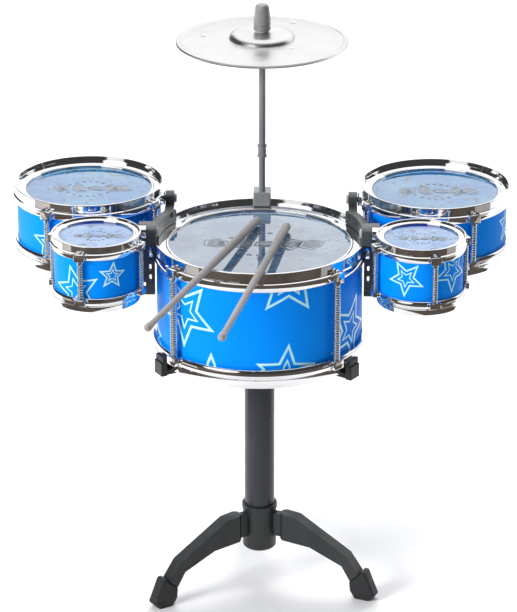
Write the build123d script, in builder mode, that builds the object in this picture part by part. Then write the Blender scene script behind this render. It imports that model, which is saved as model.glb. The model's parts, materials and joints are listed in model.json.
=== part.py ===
from build123d import *
from collections import namedtuple
from math import atan, cos, degrees, radians, sin, sqrt
import os

# Children's toy drum kit: one main drum on a tripod stand, four toms on two side brackets and a
# cymbal on a rod. Millimetres, +Z up, the player sits on the -Y side.
# Positions are first worked out about the stand's column, then moved by COLUMN_Y so that the
# origin is the middle of the kit's footprint on the floor.

# ---- driving dimensions ----
CLEAR = 0.2                 # between a hoop and the shell or wall that it slides over
GAP = 0.3                   # between pieces of different moving groups
RUNNING = 0.05              # radial clearance of a turning fit
ROCK_GAP = 0.5              # above the washer that rocks with the cymbal
HEAD_THICKNESS = 0.8
SHELL_WALL = 2.0
SEAT_WIDTH = 4.0            # inward seat of a lower hoop, under the shell's edge
SEAT_HEIGHT = 2.0
LIP = 1.0                   # bevel at a hoop's free edge
TIER = 0.44                 # share of a hoop's height below its step
FOOT_TAPER = 0.45           # inward lean of a lower hoop's foot, as a share of the hoop's width
BEAD_WIDTH = 2.0            # raised ring round the playing head
BEAD_HEIGHT = 1.2
LEDGE = 1.0                 # thickness of the ledge between bead and wall

Drum = namedtuple("Drum", "x y top radius shell head recess height band lug_angle lug_width rod")
MAIN = Drum(0, 0, 388, 110, 104.5, 92, 9.5, 123.6, 20.5, None, 13, 3.8)
MAIN_LUG_ANGLES = (-49, 45, 131, -130)
LARGE = Drum(179.5, 90, 412.6, 78.5, 74.5, 65, 9.3, 76.5, 18, 28, 12, 3.3)
SMALL = Drum(161.5, -46, 407.5, 45.6, 42.4, 37, 4.5, 70, 15, 16, 11, 3.0)

PIN_RADIUS = 3.0
Pivot = namedtuple("Pivot", "y z boss_inner boss_outer lug_inner lug_outer lug_radius")
LARGE_PIVOT = Pivot(78, 398, 90, 99, 99.6, 108, 7.5)
SMALL_PIVOT = Pivot(-24, 399, 103, 112.5, 113.1, 126, 6.5)
LUG_BORE_DEPTH = 5.5
BOSS_MARGIN = 0.5           # how much wider a boss is than the lug beside it

SADDLE_START, SADDLE_ARC = -10, 42     # degrees, about the column from +X towards +Y
SADDLE_INNER, SADDLE_OUTER, SADDLE_TOP = 102.4, 112.2, 394
PLATE_FRONT, PLATE_BACK, PLATE_BOTTOM, PLATE_TOP = -16, -8, 328, 404
PLATE_INNER, PLATE_OUTER = 105.6, 119.5
PLATE_NOTCH = 110.8         # the plate's inner side, beside the main hoop
FLANGE_INNER, FLANGE_OUTER = 104, 121
ARM_FRONT = 46
SLOT_X, SLOT_HEIGHTS, SLOT_LENGTH, SLOT_WIDTH = 110, (357, 346), 8, 2.4
WINDOW_X, WINDOW_Z, WINDOW_WIDTH, WINDOW_HEIGHT = 116.2, 338, 3, 7

ROD_Y = 107                 # the cymbal rod stands on the back of the main hoop
ROD_LOWER, ROD_UPPER = 3.4, 3.6
COUPLER_RADIUS, COUPLER_RING = 4.3, 5.0
ROD_SOCKET = 388.5
ROD_JOINT = 441
ROD_SHOULDER = 563
ROD_TOP = 590
CLAMP_HALF, CLAMP_BOTTOM, CLAMP_TOP = 9, 373, 396
CLAMP_FRONT, CLAMP_BACK = 101, 121
CLAMP_GRIP = 7              # how far the clamp and the saddles reach down over the hoop's wall
SCREW_RADIUS, SCREW_Z, SCREW_TIP = 2, 384.5, 108.9
WING_WIDTH, WING_HEIGHT, WING_DEPTH = 6, 12, 7
CYMBAL_RADIUS, CYMBAL_TOP = 88.5, 568.6
NUT_BOTTOM, NUT_TOP, NUT_RADIUS = 570.6, 598, 8.7

TUBE_RADIUS, TUBE_WALL = 15.5, 1.5
TUBE_BOTTOM, TUBE_TOP = 41.3, 258
HUB_RADIUS, HUB_BOTTOM, HUB_TOP, HUB_FLOOR = 17.4, 38, 88.7, 41
COLLAR_RADIUS, COLLAR_BOTTOM = 18.3, 83
LEG_ANGLES = {"left": -56, "right": 68, "rear": 186}
LEG_WIDTH, WEB_WIDTH, FOOT_WIDTH = 15, 8, 14.5
ARM_ANGLES = (-59.5, 56.5, 180)
ARM_WIDTH, ARM_BOTTOM = 14, 259.5
HOOK_WIDTH, HOOK_BOTTOM, HOOK_TOP = 16, 259, 279
HOOK_DEPTH, TOE_DEPTH, TOE_HEIGHT = 5.2, 6.8, 14

STICK_LENGTH, STICK_BUTT, STICK_NECK, STICK_BEAD = 352, 4.4, 2.9, 3.7
Stick = namedtuple("Stick", "butt_x butt_y turn")
STICKS = {"left": Stick(-3.4, 52.9, 15.4), "right": Stick(26.9, 36.6, 8.9)}


# ---- where things stand ----
def hoop_step(drum):
    """How far a hoop's upper band stands back from its lower band."""
    return 0.27 * (drum.radius - drum.shell)


def wall_faces(drum):
    """Inner and outer radius of the upright wall round a hoop's top."""
    wall = drum.radius - hoop_step(drum)
    return wall - 0.45 * (drum.radius - drum.shell), wall


def ear_top(drum):
    """Height of an upper ear's top, level with the foot of the hoop's upper band."""
    return drum.top - drum.band * (1 - TIER) + 2 * hoop_step(drum)


def rod_centre(drum):
    return drum.radius + 1.0


def stick_slope(stick):
    """Upward slope of a stick that lies on the main head and on the hoop's front rim."""
    rim = wall_faces(MAIN)[0]
    along = stick.butt_x * sin(radians(stick.turn)) + stick.butt_y * cos(radians(stick.turn))
    run = along + sqrt(along**2 - stick.butt_x**2 - stick.butt_y**2 + rim**2)
    shrink = (STICK_BUTT - STICK_NECK) * run / STICK_LENGTH
    return atan((MAIN.recess - shrink) / run)


def stick_reach(stick):
    """How far in front of the column a stick's tip lies."""
    return STICK_LENGTH * cos(radians(stick.turn)) * cos(stick_slope(stick)) - stick.butt_y


COLUMN_Y = (max(stick_reach(s) for s in STICKS.values()) - ROD_Y - CYMBAL_RADIUS) / 2


def at(x, y, z):
    return (x, y + COLUMN_Y, z)


def level(x, y, z):
    """A horizontal plane whose origin is a point given about the column."""
    return Plane(origin=at(x, y, z))


def upright(x, y, z=0, angle=0):
    """A vertical plane through a point: local x runs outwards at the angle from +X, local y up."""
    out = Vector(cos(radians(angle)), sin(radians(angle)), 0)
    return Plane(origin=at(x, y, z), x_dir=out, z_dir=out.cross(Vector(0, 0, 1)))


def across(x, y, z):
    """A vertical plane that faces +X."""
    return Plane(origin=at(x, y, z), x_dir=(0, 1, 0), z_dir=(1, 0, 0))


def backward(x, y, z):
    """A vertical plane that faces +Y."""
    return Plane(origin=at(x, y, z), x_dir=(1, 0, 0), z_dir=(0, 1, 0))


def from_front(angle):
    """Angle from +X of a direction given from the player's side, -Y, towards +X."""
    return angle - 90


def mirror_x(drum):
    """The same drum on the other side of the kit."""
    return drum._replace(x=-drum.x, lug_angle=-drum.lug_angle)


def lug_angles(drum):
    if drum.lug_angle is None:
        return [from_front(angle) for angle in MAIN_LUG_ANGLES]
    return [from_front(drum.lug_angle + 90 * k) for k in range(4)]


def write(part, name):
    part.part.label = name.replace("_", " ")
    export_step(part.part, f"parts/{name}.step")


def spun(points, x, y, z=0):
    """The face enclosed by (radius, height) points, on the plane through the axis at x, y."""
    with BuildSketch(upright(x, y, z)) as outline:
        with BuildLine():
            Polyline(points, close=True)
        make_face()
    return outline.sketch


def spin(points, x, y, z=0):
    """Turn (radius, height) points about the vertical axis at x, y into a solid."""
    revolve(spun(points, x, y, z).faces(), axis=Axis(at(x, y, 0), (0, 0, 1)))


# ---- drums ----
def upper_hoop_outline(drum):
    inner = drum.shell + CLEAR
    wall_inner, wall = wall_faces(drum)
    step = -drum.band * (1 - TIER)
    floor = -drum.recess
    return [
        (inner, -drum.band),
        (drum.radius - LIP, -drum.band),
        (drum.radius, -drum.band + LIP),
        (drum.radius, step),
        (wall, step + 2 * hoop_step(drum)),
        (wall, -LIP / 2),
        (wall - LIP / 2, 0),
        (wall_inner + LIP / 2, 0),
        (wall_inner, -LIP / 2),
        (wall_inner, floor + 1.6),
        (drum.head + BEAD_WIDTH, floor + LEDGE),
        (drum.head + BEAD_WIDTH - LIP / 2, floor + LEDGE + BEAD_HEIGHT),
        (drum.head + LIP / 2, floor + LEDGE + BEAD_HEIGHT),
        (drum.head, floor + LEDGE),
        (drum.head, floor),
        (inner, floor),
    ]


def lower_hoop_outline(drum):
    inner = drum.shell + CLEAR
    wall = drum.radius - hoop_step(drum)
    seat = drum.shell - SEAT_WIDTH
    foot = wall - FOOT_TAPER * (drum.radius - drum.shell)
    base = -drum.height
    step = base + drum.band * (1 - TIER)
    return [
        (seat, base),
        (foot - LIP / 2, base),
        (foot, base + LIP / 2),
        (wall, step - 2 * hoop_step(drum)),
        (drum.radius, step),
        (drum.radius, base + drum.band - LIP),
        (drum.radius - LIP, base + drum.band),
        (inner, base + drum.band),
        (inner, base + SEAT_HEIGHT),
        (seat, base + SEAT_HEIGHT),
    ]


def ears(drum, bottom, top):
    """The blocks on a hoop that the tension rods pass through."""
    inside = drum.radius - 0.5 * (drum.radius - drum.shell)
    outside = rod_centre(drum) + drum.rod + 0.6
    for angle in lug_angles(drum):
        middle = upright(drum.x, drum.y, 0, angle)
        centre = middle.from_local_coords(((inside + outside) / 2, 0, 0))
        plane = Plane(origin=(centre.X, centre.Y, bottom), x_dir=middle.x_dir, z_dir=(0, 0, 1))
        with BuildSketch(plane) as block:
            RectangleRounded(outside - inside, drum.lug_width, 0.9)
        extrude(block.sketch.faces(), amount=top - bottom)


def ear_holes(drum, bottom, top):
    with BuildSketch(level(drum.x, drum.y, bottom)) as holes:
        for angle in lug_angles(drum):
            with PolarLocations(rod_centre(drum), 1, start_angle=angle):
                Circle(0.45 * drum.rod + CLEAR)
    extrude(holes.sketch.faces(), amount=top - bottom, mode=Mode.SUBTRACT)


def upper_hoop(drum, pivot=None):
    side = 1 if drum.x > 0 else -1
    foot = drum.top - drum.band
    if pivot:
        foot = min(foot, pivot.z - pivot.lug_radius)
    with BuildPart() as hoop:
        ears(drum, drum.top - drum.band, ear_top(drum))
        if pivot:
            with BuildSketch(across(side * pivot.lug_inner, pivot.y, pivot.z)) as lug:
                Circle(pivot.lug_radius)
            extrude(lug.sketch.faces(), amount=side * (pivot.lug_outer - pivot.lug_inner))
        with BuildSketch(level(drum.x, drum.y, foot - LIP)) as bore:
            Circle(drum.radius - 0.4 * (drum.radius - drum.shell))
        extrude(bore.sketch.faces(), amount=2 * drum.band, mode=Mode.SUBTRACT)
        spin(upper_hoop_outline(drum), drum.x, drum.y, drum.top)
        ear_holes(drum, drum.top - drum.band, ear_top(drum))
        if pivot:
            with BuildSketch(across(side * pivot.lug_inner, pivot.y, pivot.z)) as pin_hole:
                Circle(PIN_RADIUS + RUNNING)
            extrude(pin_hole.sketch.faces(), amount=side * LUG_BORE_DEPTH, mode=Mode.SUBTRACT)
    return hoop


def lower_hoop(drum):
    bottom = drum.top - drum.height + drum.band * (1 - TIER)
    top = drum.top - drum.height + drum.band
    with BuildPart() as hoop:
        ears(drum, bottom, top)
        with BuildSketch(level(drum.x, drum.y, bottom - LIP)) as bore:
            Circle(drum.radius - 0.4 * (drum.radius - drum.shell))
        extrude(bore.sketch.faces(), amount=drum.band, mode=Mode.SUBTRACT)
        spin(lower_hoop_outline(drum), drum.x, drum.y, drum.top)
        ear_holes(drum, bottom, top)
    return hoop


def shell(drum):
    bottom = drum.top - drum.height + SEAT_HEIGHT
    top = drum.top - drum.recess - HEAD_THICKNESS
    with BuildPart() as tube:
        with BuildSketch(level(drum.x, drum.y, bottom)):
            Circle(drum.shell)
            Circle(drum.shell - SHELL_WALL, mode=Mode.SUBTRACT)
        extrude(amount=top - bottom)
    return tube


def head(drum):
    with BuildPart() as skin:
        with BuildSketch(level(drum.x, drum.y, drum.top - drum.recess - HEAD_THICKNESS)):
            Circle(drum.shell)
        extrude(amount=HEAD_THICKNESS)
    return skin


def tension_rods(drum):
    """Ridged sleeves between the ears, each on a thin rod with a screw head above the upper ear."""
    sleeve_top = drum.top - drum.band
    sleeve_bottom = drum.top - drum.height + drum.band
    rod_bottom = drum.top - drum.height + drum.band * (1 - TIER)
    head_radius = rod_centre(drum) - drum.radius + hoop_step(drum) - 0.25
    steps = (
        (rod_bottom, sleeve_bottom, 0.45 * drum.rod),
        (sleeve_bottom, sleeve_top, drum.rod),
        (sleeve_top, ear_top(drum), 0.45 * drum.rod),
        (ear_top(drum), ear_top(drum) + head_radius, head_radius),
    )
    with BuildPart() as rods:
        for bottom, top, radius in steps:
            with BuildSketch(level(drum.x, drum.y, bottom)) as rings:
                for angle in lug_angles(drum):
                    with PolarLocations(rod_centre(drum), 1, start_angle=angle):
                        Circle(radius)
            extrude(rings.sketch.faces(), amount=top - bottom)
    return rods


def write_drum(drum, name, pivot=None):
    write(shell(drum), f"{name}_shell")
    write(head(drum), f"{name}_head")
    write(upper_hoop(drum, pivot), f"{name}_upper_hoop")
    write(lower_hoop(drum), f"{name}_lower_hoop")
    write(tension_rods(drum), f"{name}_tension_rods")


# ---- side brackets, drawn on the right and mirrored to the left ----
def block(x, y, z):
    """A box from pairs of low and high values about the column."""
    with BuildSketch(level((x[0] + x[1]) / 2, (y[0] + y[1]) / 2, z[0])) as base:
        Rectangle(x[1] - x[0], y[1] - y[0])
    return extrude(base.sketch.faces(), amount=z[1] - z[0], mode=Mode.PRIVATE)


def right_bracket():
    wall_inner, wall = wall_faces(MAIN)
    rest = MAIN.top
    saddle = [
        (SADDLE_INNER, rest - CLAMP_GRIP),
        (wall_inner - CLEAR, rest - CLAMP_GRIP),
        (wall_inner - CLEAR, rest),
        (wall + CLEAR, rest),
        (wall + CLEAR, rest - CLAMP_GRIP),
        (SADDLE_OUTER, rest - CLAMP_GRIP),
        (SADDLE_OUTER, SADDLE_TOP - LIP),
        (SADDLE_OUTER - LIP, SADDLE_TOP),
        (SADDLE_INNER + LIP, SADDLE_TOP),
        (SADDLE_INNER, SADDLE_TOP - LIP),
    ]
    over = rest + GAP
    with BuildPart() as bracket:
        with BuildSketch(upright(0, 0, 0, SADDLE_START)) as section:
            with BuildLine():
                Polyline(saddle, close=True)
            make_face()
        revolve(
            section.sketch.faces(),
            axis=Axis(at(0, 0, 0), (0, 0, 1)),
            revolution_arc=SADDLE_ARC,
        )
        # plate that hangs in front of the saddle, between the main shell and the small tom
        hoop_bottom = MAIN.top - MAIN.band
        depth = (PLATE_FRONT, PLATE_BACK)
        add(block((PLATE_INNER, PLATE_OUTER), depth, (PLATE_BOTTOM, hoop_bottom - 1.5)))
        add(block((PLATE_NOTCH, PLATE_OUTER), depth, (hoop_bottom - 8, PLATE_TOP)))
        flange_depth = (PLATE_FRONT - 1, PLATE_BACK + 1)
        add(block((FLANGE_INNER, FLANGE_OUTER), flange_depth, (PLATE_TOP - 5, PLATE_TOP)))
        add(block((FLANGE_INNER, PLATE_NOTCH), flange_depth, (over, PLATE_TOP - 4)))
        # boss for the small tom's pin
        boss = SMALL_PIVOT
        half = boss.lug_radius + BOSS_MARGIN
        add(block((boss.boss_inner, boss.boss_outer), (boss.y - half, PLATE_BACK), (over, boss.z)))
        with BuildSketch(across(boss.boss_inner, boss.y, boss.z)) as small_round:
            Circle(half)
        extrude(small_round.sketch.faces(), amount=boss.boss_outer - boss.boss_inner)
        # arm and boss for the large tom's pin
        arm = LARGE_PIVOT
        half = arm.lug_radius + BOSS_MARGIN
        width = (arm.boss_inner, arm.boss_outer)
        add(block(width, (ARM_FRONT, arm.y + half), (over, SADDLE_TOP)))
        add(block(width, (arm.y - half, arm.y + half), (over, arm.z)))
        with BuildSketch(across(arm.boss_inner, arm.y, arm.z)) as large_round:
            Circle(half)
        extrude(large_round.sketch.faces(), amount=arm.boss_outer - arm.boss_inner)
        # holes for both pins, through the bosses
        for pivot in (SMALL_PIVOT, LARGE_PIVOT):
            with BuildSketch(across(pivot.boss_inner - 1, pivot.y, pivot.z)) as pin_hole:
                Circle(PIN_RADIUS)
            width = pivot.boss_outer - pivot.boss_inner + 2
            extrude(pin_hole.sketch.faces(), amount=width, mode=Mode.SUBTRACT)
        # slots through the hanging plate
        with BuildSketch(upright(0, PLATE_BACK + 1)) as slots:
            with Locations([(SLOT_X, height) for height in SLOT_HEIGHTS]):
                SlotOverall(SLOT_LENGTH, SLOT_WIDTH, rotation=90)
            with Locations((WINDOW_X, WINDOW_Z)):
                RectangleRounded(WINDOW_WIDTH, WINDOW_HEIGHT, 0.8)
        plate_depth = PLATE_BACK - PLATE_FRONT + 2
        extrude(slots.sketch.faces(), amount=plate_depth, mode=Mode.SUBTRACT)
    return bracket


def tom_pin(pivot):
    """A headed pin, pressed into the bracket's boss, that the tom's lug turns on."""
    with BuildPart() as pin:
        with BuildSketch(across(pivot.boss_inner - 2.5, pivot.y, pivot.z)):
            Circle(1.55 * PIN_RADIUS)
        extrude(amount=2.5)
        with BuildSketch(across(pivot.boss_inner, pivot.y, pivot.z)):
            Circle(PIN_RADIUS)
        extrude(amount=pivot.lug_inner + LUG_BORE_DEPTH - 0.5 - pivot.boss_inner)
        chamfer(pin.faces().sort_by(Axis.X)[0].edges(), 0.6)
    return pin


def mirrored(original):
    with BuildPart() as copy:
        add(mirror(original.part, about=Plane.YZ, mode=Mode.PRIVATE))
    return copy


def write_pair(right, name):
    write(right, f"right_{name}")
    write(mirrored(right), f"left_{name}")


# ---- cymbal and its rod ----
def rod_clamp():
    """A block that grips the main hoop's back wall and holds the rod."""
    wall_inner, wall = wall_faces(MAIN)
    with BuildPart() as clamp:
        middle = (CLAMP_FRONT + CLAMP_BACK) / 2
        with BuildSketch(level(0, middle, CLAMP_BOTTOM)):
            RectangleRounded(2 * CLAMP_HALF, CLAMP_BACK - CLAMP_FRONT, 1.2)
        extrude(amount=CLAMP_TOP - CLAMP_BOTTOM)
        chamfer(clamp.faces().sort_by(Axis.Z)[-1].edges(), 0.8)
        with BuildSketch(level(0, 0, CLAMP_BOTTOM - 1)) as inside:
            Circle(MAIN.radius + CLEAR)
        below = MAIN.top - CLAMP_GRIP - CLAMP_BOTTOM + 1
        extrude(inside.sketch.faces(), amount=below, mode=Mode.SUBTRACT)
        with BuildSketch(level(0, 0, MAIN.top - CLAMP_GRIP - 1)) as groove:
            Circle(wall + CLEAR)
            Circle(wall_inner - CLEAR, mode=Mode.SUBTRACT)
        extrude(groove.sketch.faces(), amount=CLAMP_GRIP + 1, mode=Mode.SUBTRACT)
        with BuildSketch(level(0, ROD_Y, ROD_SOCKET)) as socket:
            Circle(ROD_LOWER)
        extrude(socket.sketch.faces(), amount=20, mode=Mode.SUBTRACT)
        with BuildSketch(backward(0, wall, SCREW_Z)) as screw_hole:
            Circle(SCREW_RADIUS + RUNNING)
        extrude(screw_hole.sketch.faces(), amount=CLAMP_BACK - wall, mode=Mode.SUBTRACT)
    return clamp


def clamp_screw():
    """A thumbscrew that turns in the back of the rod's clamp."""
    collar = CLAMP_BACK + GAP
    with BuildPart() as screw:
        with BuildSketch(backward(0, SCREW_TIP, SCREW_Z)):
            Circle(SCREW_RADIUS)
        extrude(amount=collar - SCREW_TIP)
        with BuildSketch(backward(0, collar, SCREW_Z)):
            Circle(1.8 * SCREW_RADIUS)
        extrude(amount=2)
        with BuildSketch(backward(0, collar + 2, SCREW_Z)):
            Rectangle(WING_HEIGHT, WING_WIDTH)
            Circle(2.2 * SCREW_RADIUS)
        extrude(amount=WING_DEPTH)
        fillet(screw.edges().filter_by(Axis.Y), 1.2)
    return screw


def rod_lower():
    with BuildPart() as rod:
        with BuildSketch(level(0, ROD_Y, ROD_SOCKET)):
            Circle(ROD_LOWER)
        extrude(amount=ROD_JOINT - ROD_SOCKET)
    return rod


def rod_coupler():
    """A sleeve with a ring at each end that joins the two halves of the rod."""
    points = [
        (ROD_LOWER, ROD_JOINT - 7),
        (COUPLER_RING, ROD_JOINT - 7),
        (COUPLER_RING, ROD_JOINT - 5),
        (COUPLER_RADIUS, ROD_JOINT - 4.4),
        (COUPLER_RADIUS, ROD_JOINT + 3.4),
        (COUPLER_RING, ROD_JOINT + 4),
        (COUPLER_RING, ROD_JOINT + 6),
        (ROD_UPPER, ROD_JOINT + 6),
        (ROD_UPPER, ROD_JOINT),
        (ROD_LOWER, ROD_JOINT),
    ]
    with BuildPart() as coupler:
        spin(points, 0, ROD_Y)
    return coupler


def rod_upper():
    points = [
        (0, ROD_JOINT),
        (ROD_UPPER, ROD_JOINT),
        (ROD_UPPER, ROD_SHOULDER - 6),
        (5, ROD_SHOULDER - 3),
        (5, ROD_SHOULDER),
        (ROD_UPPER, ROD_SHOULDER),
        (ROD_UPPER, ROD_TOP - LIP),
        (ROD_UPPER - LIP, ROD_TOP),
        (0, ROD_TOP),
    ]
    with BuildPart() as rod:
        spin(points, 0, ROD_Y)
    return rod


def washer(radius, bottom, top):
    with BuildPart() as ring:
        with BuildSketch(level(0, ROD_Y, bottom)):
            Circle(radius)
            Circle(ROD_UPPER + 0.4, mode=Mode.SUBTRACT)
        extrude(amount=top - bottom)
        fillet(ring.edges().filter_by(GeomType.CIRCLE).sort_by(SortBy.RADIUS)[-2:], 0.5)
    return ring


def cymbal():
    """A shallow disc with a flat-topped bell and a rolled rim."""
    top, thick, hole = CYMBAL_TOP, 1.5, ROD_UPPER + 0.9
    with BuildPart() as plate:
        with BuildSketch(upright(0, ROD_Y)) as section:
            with BuildLine():
                Line((hole, top), (26, top))
                ThreePointArc((26, top), (31.4, top - 2.2), (34.4, top - 6.7))
                ThreePointArc((34.4, top - 6.7), (60, top - 7.3), (83, top - 9.2))
                Line((83, top - 9.2), (84, top - 8.2))
                ThreePointArc((84, top - 8.2), (CYMBAL_RADIUS, top - 9.5), (87.5, top - 12))
                Line((87.5, top - 12), (84.5, top - 12))
                Line((84.5, top - 12), (82.5, top - 10.7))
                ThreePointArc((82.5, top - 10.7), (60, top - 8.7), (36, top - 7.9))
                Line((36, top - 7.9), (33.4, top - 7.7))
                ThreePointArc((33.4, top - 7.7), (30.4, top - 3.6), (25.6, top - thick))
                Line((25.6, top - thick), (hole, top - thick))
                Line((hole, top - thick), (hole, top))
            make_face()
        revolve(section.sketch.faces(), axis=Axis(at(0, ROD_Y, 0), (0, 0, 1)))
    return plate


def nut():
    """A tapered push-on cap with a ring groove near its foot."""
    bore = ROD_UPPER + RUNNING
    points = [
        (bore, NUT_BOTTOM),
        (NUT_RADIUS - 0.7, NUT_BOTTOM),
        (NUT_RADIUS, NUT_BOTTOM + 0.8),
        (NUT_RADIUS, NUT_BOTTOM + 4.6),
        (NUT_RADIUS - 0.9, NUT_BOTTOM + 5.0),
        (NUT_RADIUS - 0.9, NUT_BOTTOM + 5.8),
        (NUT_RADIUS, NUT_BOTTOM + 6.2),
        (NUT_RADIUS - 0.2, NUT_BOTTOM + 14),
        (NUT_RADIUS - 1.4, NUT_TOP - 3.5),
        (NUT_RADIUS - 2.6, NUT_TOP - 1),
        (NUT_RADIUS - 4, NUT_TOP),
        (0, NUT_TOP),
        (0, ROD_TOP + GAP),
        (bore, ROD_TOP + GAP),
    ]
    with BuildPart() as cap:
        spin(points, 0, ROD_Y)
    return cap


# ---- stand ----
def spider():
    """Three arms that plug into the tube and hook round the main drum's lower hoop."""
    drum_bottom = MAIN.top - MAIN.height
    reach = MAIN.radius + GAP
    with BuildPart() as frame:
        with BuildSketch(level(0, 0, TUBE_TOP)):
            Circle(TUBE_RADIUS + 2.5)
        extrude(amount=drum_bottom - TUBE_TOP)
        with BuildSketch(level(0, 0, TUBE_TOP)) as plug:
            Circle(TUBE_RADIUS - TUBE_WALL)
        extrude(plug.sketch.faces(), amount=-22)
        for angle in ARM_ANGLES:
            heading = upright(0, 0, 0, from_front(angle))
            flat = Plane(origin=at(0, 0, ARM_BOTTOM), x_dir=heading.x_dir, z_dir=(0, 0, 1))
            with BuildSketch(flat) as arm:
                with Locations((reach / 2, 0)):
                    Rectangle(reach + 4, ARM_WIDTH)
            extrude(arm.sketch.faces(), amount=drum_bottom - ARM_BOTTOM)
            low = Plane(origin=at(0, 0, HOOK_BOTTOM), x_dir=heading.x_dir, z_dir=(0, 0, 1))
            with BuildSketch(low) as hook:
                with Locations((reach + HOOK_DEPTH / 2, 0)):
                    RectangleRounded(HOOK_DEPTH, HOOK_WIDTH, 1)
            extrude(hook.sketch.faces(), amount=HOOK_TOP - HOOK_BOTTOM)
            with BuildSketch(low) as toe:
                with Locations((reach + TOE_DEPTH / 2, 0)):
                    RectangleRounded(TOE_DEPTH, HOOK_WIDTH, 1)
            extrude(toe.sketch.faces(), amount=TOE_HEIGHT)
        with BuildSketch(level(0, 0, drum_bottom)) as hoop_space:
            Circle(MAIN.radius + 0.1)
        extrude(hoop_space.sketch.faces(), amount=20, mode=Mode.SUBTRACT)
    return frame


def stand_tube():
    with BuildPart() as tube:
        with BuildSketch(level(0, 0, TUBE_BOTTOM)):
            Circle(TUBE_RADIUS)
            Circle(TUBE_RADIUS - TUBE_WALL, mode=Mode.SUBTRACT)
        extrude(amount=TUBE_TOP - TUBE_BOTTOM)
    return tube


def tripod_hub():
    """A cup for the tube, with a collar at its mouth."""
    bore = TUBE_RADIUS + RUNNING
    points = [
        (0, HUB_BOTTOM),
        (HUB_RADIUS - 2, HUB_BOTTOM),
        (HUB_RADIUS, HUB_BOTTOM + 2),
        (HUB_RADIUS, COLLAR_BOTTOM - LIP),
        (COLLAR_RADIUS, COLLAR_BOTTOM),
        (COLLAR_RADIUS, HUB_TOP - LIP / 2),
        (COLLAR_RADIUS - LIP / 2, HUB_TOP),
        (bore, HUB_TOP),
        (bore, HUB_FLOOR),
        (0, HUB_FLOOR),
    ]
    with BuildPart() as hub:
        spin(points, 0, 0)
    return hub


# (radius, height) outlines; a leg's lower end and its foot's seat lie on one 45 degree line
LEG_OUTLINE = [
    (25, 52), (60, 49.5), (96, 35), (105.5, 19.5), (114.5, 28.5), (101, 47), (44, 80), (25, 82),
]
WEB_OUTLINE = [(14, 54), (30, 54), (30, 80), (14, 80)]
FOOT_OUTLINE = [
    (110, 0), (127, 0), (133, 6), (122, 32), (118, 32), (104, 18), (105, 8),
]


def thick_outline(points, angle, width):
    """Extrude (radius, height) points to a leg or foot that is centred on its heading."""
    with BuildSketch(upright(0, 0, 0, from_front(angle))) as outline:
        with BuildLine():
            Polyline(points, close=True)
        make_face()
    return extrude(outline.sketch.faces(), amount=width / 2, both=True, mode=Mode.PRIVATE)


def leg(angle):
    with BuildPart() as limb:
        add(thick_outline(LEG_OUTLINE, angle, LEG_WIDTH))
        upper = limb.faces().filter_by(lambda face: face.normal_at().Z > 0.5)
        sides = limb.edges().filter_by(lambda edge: edge.length > 20)
        along = [e for e in sides if sum(e.distance_to(f) < 1e-3 for f in upper) == 1]
        chamfer([e for e in along if e.center().Z > 50], 4)
        add(thick_outline(WEB_OUTLINE, angle, WEB_WIDTH))
        with BuildSketch(level(0, 0, HUB_BOTTOM - 1)) as hub_space:
            Circle(HUB_RADIUS)
        extrude(hub_space.sketch.faces(), amount=HUB_TOP, mode=Mode.SUBTRACT)
    return limb


def foot(angle):
    with BuildPart() as boot:
        add(thick_outline(FOOT_OUTLINE, angle, FOOT_WIDTH))
        sides = boot.faces().filter_by(lambda face: abs(face.normal_at().Z) < 1e-3)
        flanks = sides.sort_by(SortBy.AREA)[-2:]
        chamfer(flanks.edges().filter_by(lambda edge: edge.center().Z > 0.1), 1.5)
    return boot


# ---- drumsticks ----
def drumstick(stick):
    slope = stick_slope(stick)
    turn = radians(stick.turn)
    ahead = Vector(-sin(turn) * cos(slope), -cos(turn) * cos(slope), sin(slope))
    lift = MAIN.top - MAIN.recess + STICK_BUTT + 2 * GAP
    across_stick = ahead.cross(Vector(0, 0, 1))
    lying = Plane(origin=at(stick.butt_x, stick.butt_y, lift), x_dir=ahead, z_dir=across_stick)
    length = STICK_LENGTH
    with BuildPart() as rod:
        with BuildSketch(lying) as profile:
            with BuildLine():
                Line((0, 0), (0, STICK_BUTT - 1.5))
                Line((0, STICK_BUTT - 1.5), (1.5, STICK_BUTT))
                Line((1.5, STICK_BUTT), (length - 22, STICK_NECK))
                Spline((length - 22, STICK_NECK), (length - 8, STICK_BEAD), (length, 0),
                       tangents=((1, 0), (0, -1)))
                Line((length, 0), (0, 0))
            make_face()
        revolve(profile.sketch.faces(), axis=Axis(lying.origin, ahead))
    return rod


# ---- write every sub-part ----
os.makedirs("parts", exist_ok=True)
write_drum(MAIN, "main")
write_drum(LARGE, "right_large_tom", LARGE_PIVOT)
write_drum(mirror_x(LARGE), "left_large_tom", LARGE_PIVOT)
write_drum(SMALL, "right_small_tom", SMALL_PIVOT)
write_drum(mirror_x(SMALL), "left_small_tom", SMALL_PIVOT)
write_pair(right_bracket(), "side_bracket")
write_pair(tom_pin(LARGE_PIVOT), "large_tom_pin")
write_pair(tom_pin(SMALL_PIVOT), "small_tom_pin")
write(rod_clamp(), "cymbal_rod_clamp")
write(clamp_screw(), "cymbal_clamp_screw")
write(rod_lower(), "cymbal_rod_lower")
write(rod_coupler(), "cymbal_rod_coupler")
write(rod_upper(), "cymbal_rod_upper")
write(washer(9, ROD_SHOULDER + 0.6, CYMBAL_TOP - 1.5 - GAP), "cymbal_lower_washer")
write(washer(7, CYMBAL_TOP + GAP, NUT_BOTTOM - ROCK_GAP), "cymbal_upper_washer")
write(cymbal(), "cymbal")
write(nut(), "cymbal_nut")
write(spider(), "drum_spider")
write(stand_tube(), "stand_tube")
write(tripod_hub(), "tripod_hub")
for side, angle in LEG_ANGLES.items():
    write(leg(angle), f"{side}_leg")
    write(foot(angle), f"{side}_foot")
for side, stick in STICKS.items():
    write(drumstick(stick), f"{side}_drumstick")
print("column y", round(COLUMN_Y, 3))
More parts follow.
